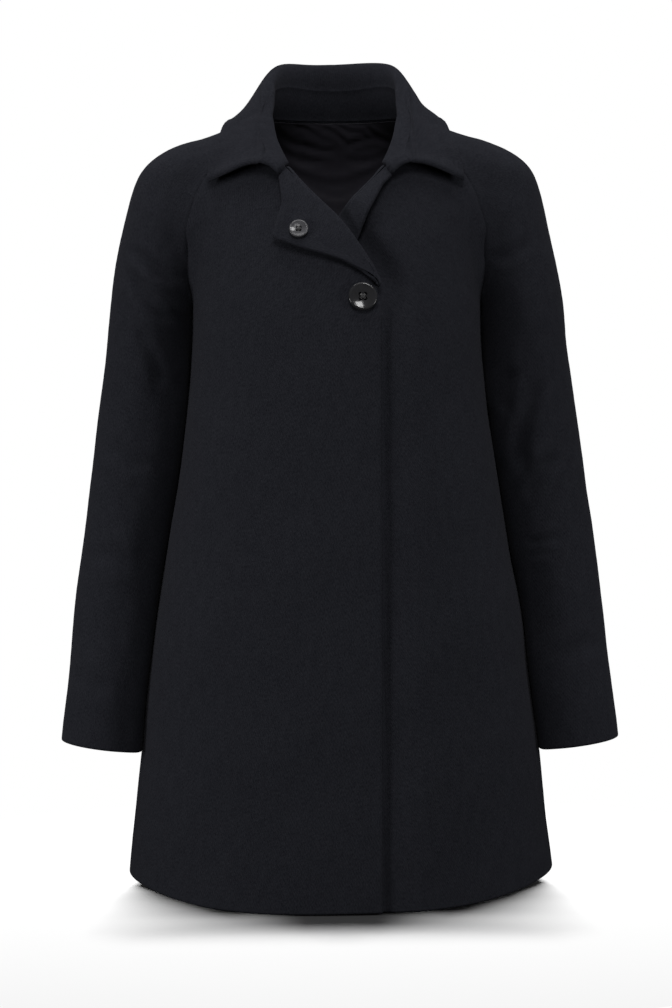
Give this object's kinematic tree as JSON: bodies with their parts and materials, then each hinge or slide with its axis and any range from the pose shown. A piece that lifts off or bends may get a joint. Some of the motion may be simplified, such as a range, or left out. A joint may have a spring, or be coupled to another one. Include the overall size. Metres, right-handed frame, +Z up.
{
  "type": "overcoat",
  "caption": "Hollow worn A-line wool overcoat: raglan sleeves, stand collar with pointed leaf, turned-back neck corner and buttoned front; dresses a figure.",
  "frame": {"origin": "between the shoulders at the height of the side neck, where the wearer's shoulders carry the coat", "axes": "+Z up, the coat's front faces -Y, the wearer's left is +X"},
  "size_m": [0.5768, 0.3206, 0.8616],
  "materials": {
    "wool": "matt brushed wool with a short nap",
    "lining": "smooth satin",
    "button": "polished"
  },
  "bodies": {
    "root": {"front_right": "wool", "front_left": "wool", "back": "wool", "sleeve_right_front": "wool", "sleeve_right_back": "wool", "sleeve_left_front": "wool", "sleeve_left_back": "wool", "collar_stand": "wool", "collar_leaf": "wool", "lapel_right": "wool", "lapel_left": "wool", "lining_back": "lining", "button_large": "button", "button_small": "button"}
  },
  "joints": []
}
